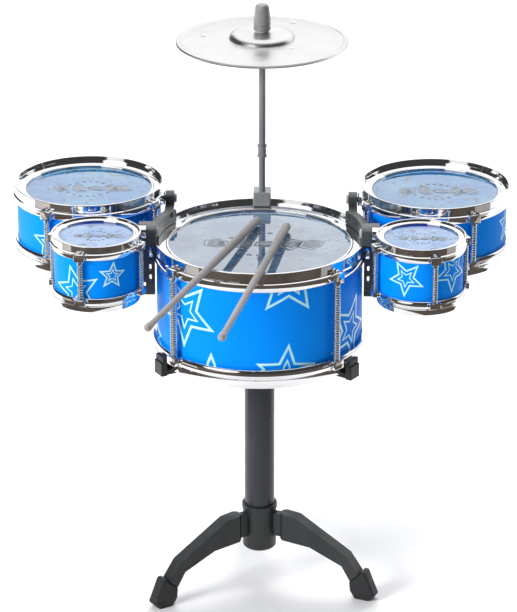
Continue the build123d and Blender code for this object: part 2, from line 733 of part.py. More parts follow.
for side, stick in STICKS.items():
    print(side, "stick slope", round(degrees(stick_slope(stick)), 3))
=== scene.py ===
"""A child's toy drum kit: the looks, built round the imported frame. Metres, +Z up, player at -Y."""
import json
from collections import namedtuple
from math import cos, pi, radians, sin, sqrt, tan

import bmesh
import bpy
from mathutils import Matrix, Vector

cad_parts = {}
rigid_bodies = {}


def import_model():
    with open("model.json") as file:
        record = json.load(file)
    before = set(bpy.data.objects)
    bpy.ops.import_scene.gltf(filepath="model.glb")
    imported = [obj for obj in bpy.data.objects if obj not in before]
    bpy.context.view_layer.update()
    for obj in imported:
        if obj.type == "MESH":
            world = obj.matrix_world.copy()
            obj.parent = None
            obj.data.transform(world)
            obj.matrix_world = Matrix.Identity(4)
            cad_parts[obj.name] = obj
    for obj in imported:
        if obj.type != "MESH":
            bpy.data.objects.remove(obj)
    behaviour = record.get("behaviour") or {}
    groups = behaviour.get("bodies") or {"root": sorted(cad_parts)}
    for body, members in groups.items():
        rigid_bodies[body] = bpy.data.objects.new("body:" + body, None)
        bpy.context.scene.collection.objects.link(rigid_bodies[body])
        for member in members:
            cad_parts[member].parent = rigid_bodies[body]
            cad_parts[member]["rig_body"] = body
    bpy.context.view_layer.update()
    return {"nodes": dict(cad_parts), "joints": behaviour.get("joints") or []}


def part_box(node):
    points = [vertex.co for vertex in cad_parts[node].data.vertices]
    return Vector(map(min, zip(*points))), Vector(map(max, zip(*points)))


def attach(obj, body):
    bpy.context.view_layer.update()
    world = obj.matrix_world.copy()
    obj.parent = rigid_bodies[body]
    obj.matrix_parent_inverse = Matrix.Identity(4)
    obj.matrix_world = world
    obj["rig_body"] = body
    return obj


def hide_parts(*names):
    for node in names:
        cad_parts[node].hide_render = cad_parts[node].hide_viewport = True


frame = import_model()

MM = 0.001
FINE = 160                  # segments round a drum
SUPPORT = 1.06              # where the points beside an eased corner stand, against its reach
CORNER_SHARE = 0.45         # the most of an edge that an eased corner may take


# ---------------------------------------------------------------- shapes
class Shape:
    """Points and faces of one piece, gathered from several simple solids."""

    def __init__(self):
        self.points = []
        self.faces = []

    def add(self, solid, place=Matrix()):
        points, faces = solid
        start = len(self.points)
        self.points += [place @ Vector(p) for p in points]
        self.faces += [[start + i for i in face] for face in faces]
        return self

    def as_solid(self):
        return self.points, self.faces


def eased_outline(corners, steps=3):
    """A closed outline from (a, b, radius) corners, each turned into a small curve."""
    out = []
    count = len(corners)
    for i, corner in enumerate(corners):
        here = Vector(corner[:2])
        radius = corner[2] if len(corner) > 2 else 0
        before = Vector(corners[i - 1][:2]) - here
        after = Vector(corners[(i + 1) % count][:2]) - here
        if radius <= 0 or before.length < 1e-9 or after.length < 1e-9:
            out.append(tuple(here))
            continue
        half = before.angle(after) / 2
        reach = min(radius / max(tan(half), 1e-3), CORNER_SHARE * before.length,
                    CORNER_SHARE * after.length)
        first = here + before.normalized() * reach
        last = here + after.normalized() * reach
        out.append(tuple(here + (first - here) * SUPPORT))
        for k in range(steps + 1):
            t = k / steps
            out.append(tuple(first * (1 - t) ** 2 + here * 2 * t * (1 - t) + last * t * t))
        out.append(tuple(here + (last - here) * SUPPORT))
    return out


def bulge(first, last, depth, steps=9):
    """Points from first to last, bowed to the right of the way by depth in the middle."""
    start, end = Vector(first), Vector(last)
    way = end - start
    side = Vector((way.y, -way.x)).normalized()
    return [
        tuple(start.lerp(end, k / steps) + side * depth * 4 * k / steps * (1 - k / steps))
        for k in range(steps + 1)
    ]


def lathe(profile, segments=FINE):
    """Turn a closed (radius, height) outline about Z. Points on the axis become one vertex."""
    points = []
    rings = []
    for radius, height in profile:
        if radius < 1e-6:
            rings.append([len(points)] * segments)
            points.append((0, 0, height * MM))
            continue
        rings.append(list(range(len(points), len(points) + segments)))
        for k in range(segments):
            turn = 2 * pi * k / segments
            points.append((radius * MM * cos(turn), radius * MM * sin(turn), height * MM))
    faces = []
    for i, ring in enumerate(rings):
        above = rings[(i + 1) % len(rings)]
        for k in range(segments):
            n = (k + 1) % segments
            corners = []
            for index in (ring[k], ring[n], above[n], above[k]):
                if index not in corners:
                    corners.append(index)
            if len(corners) > 2:
                faces.append(corners)
    return points, faces


def block(size, ease, steps=2):
    """A box of that size in millimetres, centred, with eased edges."""
    work = bmesh.new()
    bmesh.ops.create_cube(work, size=1)
    bmesh.ops.scale(work, vec=Vector(size) * MM, verts=work.verts)
    bmesh.ops.bevel(work, geom=work.edges[:], offset=ease * MM, segments=steps, profile=0.5,
                    affect="EDGES")
    work.verts.index_update()
    points = [v.co.copy() for v in work.verts]
    faces = [[v.index for v in face.verts] for face in work.faces]
    work.free()
    return points, faces


def at(x, y, z, turn=0.0):
    """A place in metres, turned about Z."""
    return Matrix.Translation((x, y, z)) @ Matrix.Rotation(turn, 4, "Z")


def piece(name, shape, material, body, replaces=(), sharp=38):
    """One finished mesh that rides on a body and may stand for CAD nodes."""
    solid = shape.as_solid() if isinstance(shape, Shape) else shape
    mesh = bpy.data.meshes.new(name)
    mesh.from_pydata([tuple(p) for p in solid[0]], [], solid[1])
    work = bmesh.new()
    work.from_mesh(mesh)
    bmesh.ops.recalc_face_normals(work, faces=work.faces)
    work.to_mesh(mesh)
    work.free()
    mesh.shade_smooth()
    mesh.set_sharp_from_angle(angle=radians(sharp))
    obj = bpy.data.objects.new(name, mesh)
    bpy.context.scene.collection.objects.link(obj)
    mesh.materials.append(material)
    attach(obj, body)
    if replaces:
        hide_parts(*replaces)
    return obj


def eased_copy(node, material, ease=0.5, steps=2):
    """The CAD node's own shape with its sharp edges eased, standing for the node."""
    source = frame["nodes"][node]
    body = source["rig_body"]
    work = bmesh.new()
    work.from_mesh(source.data)
    bmesh.ops.remove_doubles(work, verts=work.verts, dist=1e-6)
    bmesh.ops.dissolve_limit(work, angle_limit=radians(0.8), verts=work.verts, edges=work.edges)
    bmesh.ops.recalc_face_normals(work, faces=work.faces)
    mesh = bpy.data.meshes.new(node + "_eased")
    work.to_mesh(mesh)
    work.free()
    mesh.shade_smooth()
    mesh.set_sharp_from_angle(angle=radians(75))
    obj = bpy.data.objects.new(node + "_eased", mesh)
    bpy.context.scene.collection.objects.link(obj)
    bevel = obj.modifiers.new("ease", "BEVEL")
    bevel.width = ease * MM
    bevel.segments = steps
    bevel.limit_method = "ANGLE"
    bevel.angle_limit = radians(32)
    bevel.use_clamp_overlap = True
    flats = obj.modifiers.new("flats", "WEIGHTED_NORMAL")
    flats.keep_sharp = True
    bpy.context.view_layer.update()
    finished = obj.evaluated_get(bpy.context.evaluated_depsgraph_get())
    final = bpy.data.meshes.new_from_object(finished)
    obj.modifiers.clear()
    obj.data = final
    final.materials.clear()
    final.materials.append(material)
    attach(obj, body)
    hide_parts(node)
    return obj


# ---------------------------------------------------------------- materials
class Finish:
    """A principled material with helpers for the detail that the real surface shows."""

    def __init__(self, name, **sockets):
        self.material = bpy.data.materials.new(name)
        self.material.use_nodes = True
        self.tree = self.material.node_tree
        self.shader = self.tree.nodes["Principled BSDF"]
        self.coords = self.tree.nodes.new("ShaderNodeTexCoord")
        self.normal = None
        for socket, value in sockets.items():
            self.shader.inputs[socket.replace("_", " ")].default_value = value

    def node(self, kind, **settings):
        made = self.tree.nodes.new(kind)
        for key, value in settings.items():
            setattr(made, key, value)
        return made

    def link(self, output, socket):
        self.tree.links.new(output, socket)

    def noise(self, scale, detail=2.0, roughness=0.5):
        made = self.node("ShaderNodeTexNoise")
        made.inputs["Scale"].default_value = scale
        made.inputs["Detail"].default_value = detail
        made.inputs["Roughness"].default_value = roughness
        self.link(self.coords.outputs["Object"], made.inputs["Vector"])
        return made.outputs["Fac"]

    def spread(self, value, low, high, start=0.3, end=0.7):
        """A value from start..end mapped to low..high."""
        made = self.node("ShaderNodeMapRange")
        for socket, number in zip(("From Min", "From Max", "To Min", "To Max"),
                                  (start, end, low, high)):
            made.inputs[socket].default_value = number
        self.link(value, made.inputs["Value"])
        return made.outputs["Result"]

    def blend(self, factor, first, second):
        """A colour between two, by a factor. Either colour may be an output."""
        made = self.node("ShaderNodeMix", data_type="RGBA")
        self.link(factor, made.inputs[0])
        for index, colour in ((6, first), (7, second)):
            if isinstance(colour, tuple):
                made.inputs[index].default_value = (*colour, 1)
            else:
                self.link(colour, made.inputs[index])
        return made.outputs[2]

    def colour(self, output):
        self.link(output, self.shader.inputs["Base Color"])
        return self

    def mottle(self, first, second, scale, detail=3.0):
        fac = self.spread(self.noise(scale, detail), 0, 1)
        return self.colour(self.blend(fac, first, second))

    def rough(self, low, high, scale, detail=3.0):
        fac = self.spread(self.noise(scale, detail), low, high)
        self.link(fac, self.shader.inputs["Roughness"])
        return self

    def bump(self, height, strength, distance):
        """Stack one more height on the surface's normal."""
        made = self.node("ShaderNodeBump")
        made.inputs["Strength"].default_value = strength
        made.inputs["Distance"].default_value = distance
        self.link(height, made.inputs["Height"])
        if self.normal is not None:
            self.link(self.normal, made.inputs["Normal"])
        self.normal = made.outputs["Normal"]
        self.link(self.normal, self.shader.inputs["Normal"])
        return self

    def grain(self, scale, strength=0.2, distance=0.0002, detail=2.0):
        return self.bump(self.noise(scale, detail), strength, distance)


def chrome(name, tint):
    """Vacuum-plated plastic: a mirror with the soft ripple of the moulding under it."""
    made = Finish(name, Metallic=1.0)
    made.mottle(tint, tuple(0.94 * c for c in tint), 45)
    made.rough(0.025, 0.08, 160, 4)
    made.grain(30, 0.16, 0.0006, 1)
    made.grain(900, 0.04, 0.0001)
    return made.material


def moulded(name, dark, light, low, high, grain=1800, **sockets):
    """Satin moulded plastic: fine pebbled grain, slight flow marks and uneven sheen."""
    made = Finish(name, **sockets)
    made.mottle(dark, light, 22, 5)
    made.rough(low, high, 60, 4)
    made.grain(grain, 0.25, 0.00012)
    made.grain(70, 0.12, 0.0005)
    return made.material


def blue_gloss():
    """Clear-coated blue foil, a little deeper in patches."""
    made = Finish("blue_gloss", Specular_IOR_Level=0.04, Coat_Weight=0.07, Coat_Roughness=0.05)
    made.mottle((0.0, 0.265, 0.96), (0.0, 0.235, 0.88), 14, 2)
    made.rough(0.35, 0.5, 90)
    made.grain(60, 0.05, 0.0005, 1)
    return made.material


def star_print():
    made = Finish("star_print", Coat_Weight=1.0, Coat_Roughness=0.06)
    made.mottle((0.40, 0.84, 0.94), (0.58, 0.94, 0.97), 120, 4)
    made.rough(0.3, 0.5, 300)
    made.grain(1500, 0.08, 0.0001)
    return made.material


def head_film(name, mirror, deep, pale, painted_reflection_span=None):
    """Mirror-bright film over a blue ground, with clouds, grey splatter and faint flecks under it.

    The span argument gives the two depths along Y, in metres, between which deep blue is painted into
    the film's colour: a painted reflection of the hoop's dark back wall.
    """
    made = Finish(name, IOR=mirror)
    cloud = made.spread(made.noise(26, 6, roughness=0.65), 0, 1, 0.42, 0.62)
    ground = made.blend(cloud, deep, pale)
    splat = made.spread(made.noise(110, 6, roughness=0.72), 0, 1, 0.55, 0.62)
    print_colour = made.blend(splat, ground, (0.03, 0.06, 0.12))
    fleck = made.spread(made.noise(300, 3), 0, 0.6, 0.62, 0.70)
    colour = made.blend(fleck, print_colour, (0.30, 0.40, 0.52))
    # Painted reflection: towards the back edge the colour turns deep blue, standing in for the hoop's
    # dark back wall mirrored in the film.
    if painted_reflection_span:
        axes = made.node("ShaderNodeSeparateXYZ")
        made.link(made.coords.outputs["Object"], axes.inputs[0])
        depth = made.spread(axes.outputs["Y"], 0, 1, *painted_reflection_span)
        colour = made.blend(depth, colour, (0.0, 0.03, 0.34))
    made.colour(colour)
    made.rough(0.02, 0.07, 80)
    made.grain(16, 0.05, 0.0008, 1)
    return made.material


def head_mark():
    """Opaque grey ink, speckled where it did not take."""
    made = Finish("head_mark", IOR=1.6)
    made.mottle((0.15, 0.17, 0.20), (0.30, 0.34, 0.40), 260, 6)
    made.rough(0.3, 0.5, 200)
    made.grain(900, 0.1, 0.0001)
    return made.material


def satin_plate(name, tint, low, high):
    """Softly polished plate: a faint broad ripple and broad unevenness."""
    made = Finish(name, Metallic=1.0)
    made.mottle(tint, tuple(0.95 * c for c in tint), 30)
    made.rough(low, high, 90, 5)
    made.grain(14, 0.15, 0.0012, 1)
    return made.material


CHROME = chrome("plated_chrome", (0.93, 0.93, 0.94))
SPRING = satin_plate("plated_spring", (0.80, 0.86, 0.88), 0.20, 0.32)
CYMBAL = satin_plate("plated_cymbal", (0.79, 0.79, 0.79), 0.27, 0.40)
BLUE = blue_gloss()
STAR = star_print()
HEAD = head_film("head_film", 4.1, (0.05, 0.15, 0.31), (0.16, 0.25, 0.36))
LARGE_HEAD = head_film("large_head_film", 3.0, (0.01, 0.15, 0.40), (0.06, 0.23, 0.40))
# The small heads' back edge, near which a painted reflection of the hoop's dark back wall is blended
# into the film's colour as deep blue.
SMALL_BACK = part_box("left_small_tom_head")[1].y
SMALL_HEAD = head_film("small_head_film", 2.5, (0.10, 0.25, 0.55), (0.24, 0.37, 0.60),
                       (SMALL_BACK - 0.018, SMALL_BACK - 0.008))
MARK = head_mark()
BRACKET = moulded("bracket_grey", (0.042, 0.049, 0.052), (0.064, 0.072, 0.076), 0.26, 0.42, IOR=1.9)
PIN = moulded("pin_grey", (0.42, 0.45, 0.43), (0.50, 0.53, 0.51), 0.35, 0.5)
ROD = moulded("rod_grey", (0.19, 0.19, 0.20), (0.25, 0.25, 0.26), 0.24, 0.36)
CLAMP = moulded("clamp_grey", (0.23, 0.24, 0.25), (0.28, 0.29, 0.30), 0.34, 0.48, IOR=1.8)
NUT = moulded("nut_grey", (0.25, 0.25, 0.262), (0.31, 0.31, 0.322), 0.14, 0.24, 900, IOR=1.9)
WASHER = moulded("washer_pale", (0.50, 0.50, 0.52), (0.58, 0.58, 0.60), 0.5, 0.7, 900)
RUBBER = moulded("rubber_black", (0.018, 0.018, 0.018), (0.03, 0.03, 0.03), 0.55, 0.75, 900)
STAND = moulded("stand_charcoal", (0.020, 0.023, 0.024), (0.028, 0.032, 0.033), 0.36, 0.52)
FOOT = moulded("foot_black", (0.013, 0.014, 0.015), (0.019, 0.020, 0.021), 0.46, 0.6, 1400)
TUBE = moulded("tube_black", (0.022, 0.024, 0.031), (0.030, 0.033, 0.042), 0.26, 0.36)
STICK = moulded("stick_grey", (0.29, 0.275, 0.275), (0.35, 0.335, 0.335), 0.4, 0.55)


# ---------------------------------------------------------------- drums
Drum = namedtuple("Drum", "name rim head lugs ear rod stars")
Star = namedtuple("Star", "heading height size tip")

# headings in degrees from the player's side, -Y, towards +X; heights in mm above the shell's foot
MAIN_STARS = (
    Star(-44, 67.7, 39, -20), Star(18, 111.5, 39, 86), Star(16, 12, 33, 85),
    Star(-26, -1, 33, 90), Star(62, 41, 37, 66), Star(84, 104, 28, 40),
    Star(-78, 112, 26, 100), Star(-86, 20, 30, 80), Star(108, 18, 30, 60), Star(128, 78, 36, 92),
    Star(166, 30, 30, 75), Star(196, 88, 34, 100), Star(232, 36, 36, 84),
)


def quarter_turns(first):
    return tuple(first + 90 * k for k in range(4))


DRUMS = (
    Drum("main", 5.5, 92, (-49, 45, 131, -130), 13, 3.8, MAIN_STARS),
    Drum("left_large_tom", 4, 65, quarter_turns(-28), 12, 3.3,
         (Star(-29, 29, 22, 96), Star(46, 34, 19, 127), Star(92, 29, 22, 158),
          Star(150, 34, 19, 189), Star(205, 29, 22, 220), Star(262, 34, 19, 251))),
    Drum("right_large_tom", 4, 65, quarter_turns(28), 12, 3.3,
         (Star(76, 38, 21, 84), Star(-38, 31, 20, 100), Star(124, 30, 22, 75),
          Star(172, 36, 20, 96), Star(228, 30, 22, 60), Star(282, 36, 19, 84))),
    Drum("left_small_tom", 3.2, 37, quarter_turns(-16), 11, 3.0,
         (Star(-25, 20, 27, 104), Star(26, 36, 15, 84), Star(110, 35, 17, 70),
          Star(190, 31, 15, 85), Star(258, 35, 18, 98))),
    Drum("right_small_tom", 3.2, 37, quarter_turns(16), 11, 3.0,
         (Star(-22, 36, 20, 122), Star(46, 41, 24, 52), Star(120, 31, 15, 80),
          Star(190, 35, 18, 90), Star(262, 32, 16, 70))),
)
# shares of a drum's rim or of its hoops' height
TIER = 0.44                 # a hoop's height below its step
WALL_INSET = 0.27           # from a hoop's outside in to its wall
WALL_THICKNESS = 0.45
EAR_RISE = 0.54             # from a hoop's step up to the top of its ears
BAND_LEAN = 0.24            # from the upper band's edge in to its foot
UPPER_BOW = 0.05
LOWER_BOW = 0.13
WALL_SLOPE = 0.25           # how far the upper wall leans inside, for its depth
LEDGE_SLOPE = 0.36
FOOT_LEAN = 0.45            # from the lower wall in to its foot

# millimetres
HEAD_THICKNESS = 0.8
SHELL_WALL = 2
SEAT = 2                    # height of the ledge in the lower hoop that the shell stands on
ROD_OUT = 1                 # from a hoop's outside to the middle of a tension rod
EAR_COVER = 0.6             # an ear's thickness outside its rod
SCREW_GAP = 0.25            # from a screw's cap to the hoop's wall
INK = 0.12                  # half the thickness of the print on a head
LUG_REACH = {"large": 5, "small": 9.4}
LUG_RADIUS = {"large": 7.5, "small": 6.5}
HEAD_DIP = {"main": 0.3, "large": 0.2, "small": 0.2}
STAR_STROKE = {"main": 2.5, "large": 1.5, "small": 1.5}
INNER_STAR = 0.5            # size of a star's inner outline, as a share of the outer one
INNER_STROKE = 0.62
FILM = {"main": HEAD, "large": LARGE_HEAD, "small": SMALL_HEAD}


def kind_of(drum):
    """Main, large or small."""
    return next(kind for kind in FILM if kind in drum.name)


def drum_frame(drum):
    """Centre, hoop top, recess, shell radius, band and height of a drum, from the CAD boxes."""
    low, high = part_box(drum.name + "_shell")
    hoop_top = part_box(drum.name + "_upper_hoop")[1].z
    foot_low, foot_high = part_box(drum.name + "_lower_hoop")
    return {
        "x": (low.x + high.x) / 2,
        "y": (low.y + high.y) / 2,
        "top": hoop_top,
        "recess": round((hoop_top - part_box(drum.name + "_head")[1].z) / MM, 2),
        "shell": round((high.x - low.x) / 2 / MM, 2),
        "band": round((foot_high.z - foot_low.z) / MM, 2),
        "height": round((hoop_top - foot_low.z) / MM, 2),
    }


def upper_hoop_profile(drum, size):
    """A bowed band that leans in at its foot, a wall that leans inside, and a ledge and a bead."""
    outer = size["shell"] + drum.rim
    wall = outer - WALL_INSET * drum.rim
    wall_in = wall - WALL_THICKNESS * drum.rim
    inner = size["shell"] + 0.2
    band = size["band"]
    turn = -band * (1 - TIER)
    foot = outer - BAND_LEAN * TIER * band
    bow = UPPER_BOW * TIER * band
    floor = -size["recess"]
    mid = 0.42 * floor
    slope_in = wall_in + WALL_SLOPE * mid
    ledge = max(0.0, mid - 0.6 - floor - 2.0)
    outside = [(inner, -band), (foot - 0.5, -band), (foot, -band + 0.5)]
    outside += bulge((foot, -band + 0.5), (outer - 0.05, turn), bow)[1:]
    outside += [(wall - 0.35, turn + 0.9), (wall - 0.35, turn + 1.5), (wall, turn + 1.9)]
    inside = eased_outline([
        (wall, turn + 2.2),
        (wall, 0, 0.8),
        (wall_in, 0, 0.8),
        (slope_in, mid, 0.3),
        (slope_in - 0.3, mid - 0.6, 0.3),
        (slope_in - 0.35 - LEDGE_SLOPE * ledge, floor + 1.9, 0.5),
        (drum.head + 2.6, floor + 1.1, 0.5),
        (drum.head + 2.2, floor + 2.2, 0.5),
        (drum.head + 0.4, floor + 2.2, 0.5),
        (drum.head, floor + 1.2, 0.3),
        (drum.head, floor, 0.2),
        (inner, floor, 0.2),
    ])
    return outside + inside


def lower_hoop_profile(drum, size):
    """A foot that widens upwards, with a bowed band above it."""
    outer = size["shell"] + drum.rim
    wall = outer - WALL_INSET * drum.rim
    base = -size["height"]
    turn = base + size["band"] * (1 - TIER)
    top = base + size["band"]
    bow = LOWER_BOW * TIER * size["band"]
    lean = FOOT_LEAN * drum.rim
    outside = eased_outline([
        (size["shell"] - 4, base, 0.5),
        (wall - lean, base, 0.8),
        (wall, turn - 2.2),
    ])
    outside += [(wall, turn - 1.9), (wall - 0.35, turn - 1.5), (wall - 0.35, turn - 0.9)]
    outside += bulge((outer - bow, turn), (outer - bow, top - 0.5), bow)
    inside = eased_outline([
        (outer - bow - 0.5, top),
        (size["shell"] + 0.2, top, 0.3),
        (size["shell"] + 0.2, base + SEAT, 0.2),
        (size["shell"] - 4, base + SEAT, 0.5),
    ])
    return outside + inside


def ear(drum, low, high):
    """One block that a tension rod passes through, with a raised boss, about its own middle."""
    inside = -0.5 * drum.rim
    outside = ROD_OUT + drum.rod + EAR_COVER
    made = Shape()
    body = block((outside - inside, drum.ear, high - low), 0.9)
    made.add(body, at((inside + outside) / 2 * MM, 0, (low + high) / 2 * MM))
    flange = block((0.6 * (outside - inside), drum.ear + 3.2, 0.55 * (high - low)), 0.8)
    made.add(flange, at(0.4 * inside * MM, 0, (low + high) / 2 * MM))
    return made.as_solid()


def around(drum, size):
    """The places of a drum's tension rods, x pointing outwards."""
    for lug in drum.lugs:
        turn = radians(lug - 90)
        reach = (size["shell"] + drum.rim) * MM
        place = Vector((size["x"] + reach * cos(turn), size["y"] + reach * sin(turn), size["top"]))
        yield at(*place, turn)


def ear_top(drum, size):
    """The top of the upper ears, from the hoop's top."""
    return -size["band"] * (1 - TIER) + EAR_RISE * drum.rim


def upper_hoop(drum, size):
    made = Shape()
    middle = at(size["x"], size["y"], size["top"])
    made.add(lathe(upper_hoop_profile(drum, size)), middle)
    for place in around(drum, size):
        made.add(ear(drum, -size["band"], ear_top(drum, size)), place)
    if drum.name != "main":
        made.add(*pivot_lug(drum, size))
    piece(drum.name + "_upper_rim", made, CHROME, body_of(drum),
          [drum.name + "_upper_hoop"])


def pivot_lug(drum, size):
    """The round lug that the tom turns on, from the hoop towards its bracket."""
    joint = next(j for j in frame["joints"] if j["name"] == drum.name + "_tilt")
    side = -1 if size["x"] < 0 else 1
    _, y, z = joint["pos_m"]
    low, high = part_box(drum.name + "_upper_hoop")
    near = min(abs(low.x), abs(high.x)) / MM
    far = near + LUG_REACH[kind_of(drum)]
    radius = LUG_RADIUS[kind_of(drum)]
    profile = eased_outline([
        (0, near + 1.6), (3.1, near + 1.6), (3.1, near, 0.2), (radius - 1.2, near, 0.6),
        (radius, near + 1.2, 0.6), (radius, far), (0, far),
    ])
    lean = Matrix.Rotation(side * pi / 2, 4, "Y")
    return lathe(profile, segments=40), Matrix.Translation((0, y, z)) @ lean


def body_of(drum):
    return "kit" if drum.name == "main" else drum.name


def lower_hoop(drum, size):
    made = Shape()
    middle = at(size["x"], size["y"], size["top"])
    made.add(lathe(lower_hoop_profile(drum, size)), middle)
    low = -size["height"] + size["band"] * (1 - TIER)
    for place in around(drum, size):
        made.add(ear(drum, low, -size["height"] + size["band"]), place)
    piece(drum.name + "_lower_rim", made, CHROME, body_of(drum),
          [drum.name + "_lower_hoop"])


def tension_rods(drum, size):
    """Sleeves ridged like springs between the ears, with a hollow-headed screw above each."""
    sleeve_low = -size["height"] + size["band"]
    sleeve_high = -size["band"]
    ridges = int((sleeve_high - sleeve_low - 4) / 2.5)
    pitch = (sleeve_high - sleeve_low - 4) / ridges
    outline = [(0, sleeve_low), (drum.rod, sleeve_low, 0.3), (drum.rod, sleeve_low + 2, 0.3)]
    for k in range(ridges):
        ridge = sleeve_low + 2 + k * pitch
        outline += [
            (0.82 * drum.rod, ridge + 0.06 * pitch), (0.82 * drum.rod, ridge + 0.16 * pitch),
            (0.95 * drum.rod, ridge + 0.34 * pitch), (drum.rod, ridge + 0.58 * pitch),
            (0.95 * drum.rod, ridge + 0.82 * pitch),
        ]
    outline += [(drum.rod, sleeve_high - 2, 0.3), (drum.rod, sleeve_high, 0.3), (0, sleeve_high)]
    foot = ear_top(drum, size)
    cap = ROD_OUT + WALL_INSET * drum.rim - SCREW_GAP
    screw = eased_outline([
        (0, foot - 1), (0.8 * cap, foot - 1), (0.8 * cap, foot), (cap, foot, 0.2),
        (cap, foot + 0.6 * cap, 0.4 * cap), (0.45 * cap, foot + cap, 0.2),
        (0.3 * cap, foot + 0.5 * cap), (0, foot + 0.5 * cap),
    ])
    made = Shape()
    for place in around(drum, size):
        out = place @ Matrix.Translation((ROD_OUT * MM, 0, 0))
        made.add(lathe(eased_outline(outline), segments=20), out)
        made.add(lathe(screw, segments=16), out)
    piece(drum.name + "_spring_rods", made, SPRING, body_of(drum),
          [drum.name + "_tension_rods"])


def star_band(outer, width, tip):
    """A five-pointed outline of even width, as pairs of an outer and an inner (across, up) point."""
    hollow = 0.45
    steps = 7
    edge = hollow * sin(radians(36)) / sqrt(1 + hollow ** 2 - 2 * hollow * cos(radians(36)))
    inner = outer - width / edge
    corners = []
    for k in range(10):
        reach = 1 if k % 2 == 0 else hollow
        turn = radians(tip + 36 * k)
        corners.append(Vector((reach * cos(turn), reach * sin(turn))))
    pairs = []
    for k, corner in enumerate(corners):
        following = corners[(k + 1) % 10]
        for s in range(steps):
            point = corner.lerp(following, s / steps)
            pairs.append((point * outer, point * inner))
    return pairs


def star_on_shell(size, star, outer, width):
    """One star outline wrapped on the shell, a thin closed strip, in the drum's own frame."""
    radius = size["shell"]
    foot = -size["height"] + SEAT
    pairs = star_band(outer, width, star.tip)
    points = []
    for first, second in pairs:
        for spot, lift in ((first, 0.13), (second, 0.13), (second, -0.1), (first, -0.1)):
            turn = radians(star.heading - 90) + spot.x / radius
            reach = (radius + lift) * MM
            points.append((reach * cos(turn), reach * sin(turn), (foot + star.height + spot.y) * MM))
    count = len(pairs)
    faces = []
    for i in range(count):
        n = (i + 1) % count
        for c in range(4):
            d = (c + 1) % 4
            faces.append((4 * i + c, 4 * n + c, 4 * n + d, 4 * i + d))
    return points, faces


def cut_level(solid, low, high):
    """The part of a closed solid between two heights, closed again."""
    work = bmesh.new()
    verts = [work.verts.new(p) for p in solid[0]]
    for face in solid[1]:
        work.faces.new([verts[i] for i in face])
    for height, side in ((low, -1), (high, 1)):
        geometry = work.verts[:] + work.edges[:] + work.faces[:]
        bmesh.ops.bisect_plane(work, geom=geometry, plane_co=(0, 0, height),
                               plane_no=(0, 0, side), clear_outer=True)
        rim = [edge for edge in work.edges if edge.is_boundary]
        if rim:
            bmesh.ops.holes_fill(work, edges=rim)
    work.verts.index_update()
    result = ([v.co.copy() for v in work.verts], [[v.index for v in f.verts] for f in work.faces])
    work.free()
    return result


def stars(drum, size):
    """Double star outlines printed on the shell, cut off under the hoops."""
    low = (-size["height"] + size["band"] - 2.5) * MM
    high = (-size["band"] + 2.5) * MM
    stroke = STAR_STROKE[kind_of(drum)]
    made = Shape()
    middle = at(size["x"], size["y"], size["top"])
    for star in drum.stars:
        for share, width in ((1, stroke), (INNER_STAR, INNER_STROKE * stroke)):
            strip = star_on_shell(size, star, share * star.size, width)
            cut = cut_level(strip, low, high)
            if cut[1]:
                made.add(cut, middle)
    piece(drum.name + "_star_print", made, STAR, body_of(drum), sharp=60)


def head(drum, size):
    """The playing head: a film drawn over the shell, very slightly slack."""
    radius = size["shell"]
    top = -size["recess"]
    dip = HEAD_DIP[kind_of(drum)]
    profile = [(0, top - dip)]
    profile += [(radius * k / 12, top - dip * cos(pi / 2 * k / 12) ** 2) for k in range(1, 12)]
    profile += [(radius - 0.3, top - 0.05), (radius, top - 0.4), (radius - 0.3, top - 0.75),
                (0, top - HEAD_THICKNESS)]
    made = Shape().add(lathe(profile), at(size["x"], size["y"], size["top"]))
    piece(drum.name + "_playing_head", made, FILM[kind_of(drum)], body_of(drum),
          [drum.name + "_head"])


def shard(seed, width, tall):
    """An uneven six-cornered patch of ink as (x, y) corners, the same for the same seed."""
    corners = []
    for k in range(6):
        turn = 2 * pi * (k + 0.5) / 6
        swing = 1 + 0.22 * sin(seed * 12.9 + k * 4.7)
        corners.append((width * swing * cos(turn), tall * swing * sin(turn)))
    return corners


def flat_patch(corners, thick):
    """A thin closed slab from (x, y) corners in mm."""
    count = len(corners)
    points = [(x * MM, y * MM, thick * MM) for x, y in corners]
    points += [(0.96 * x * MM, 0.96 * y * MM, -thick * MM) for x, y in corners]
    faces = [list(range(count)), list(range(2 * count - 1, count - 1, -1))]
    faces += [[k, (k + 1) % count, (k + 1) % count + count, k + count] for k in range(count)]
    return points, faces


def flat_ring(corners, width, thick):
    """A thin closed outline of even width round (x, y) corners in mm."""
    count = len(corners)
    points = []
    for x, y in corners:
        inward = 1 - width / max(sqrt(x * x + y * y), 1e-6)
        for share, height in ((1, thick), (inward, thick), (inward, -thick), (1, -thick)):
            points.append((share * x * MM, share * y * MM, height * MM))
    faces = []
    for k in range(count):
        n = (k + 1) % count
        for c in range(4):
            d = (c + 1) % 4
            faces.append((4 * k + c, 4 * n + c, 4 * n + d, 4 * k + d))
    return points, faces


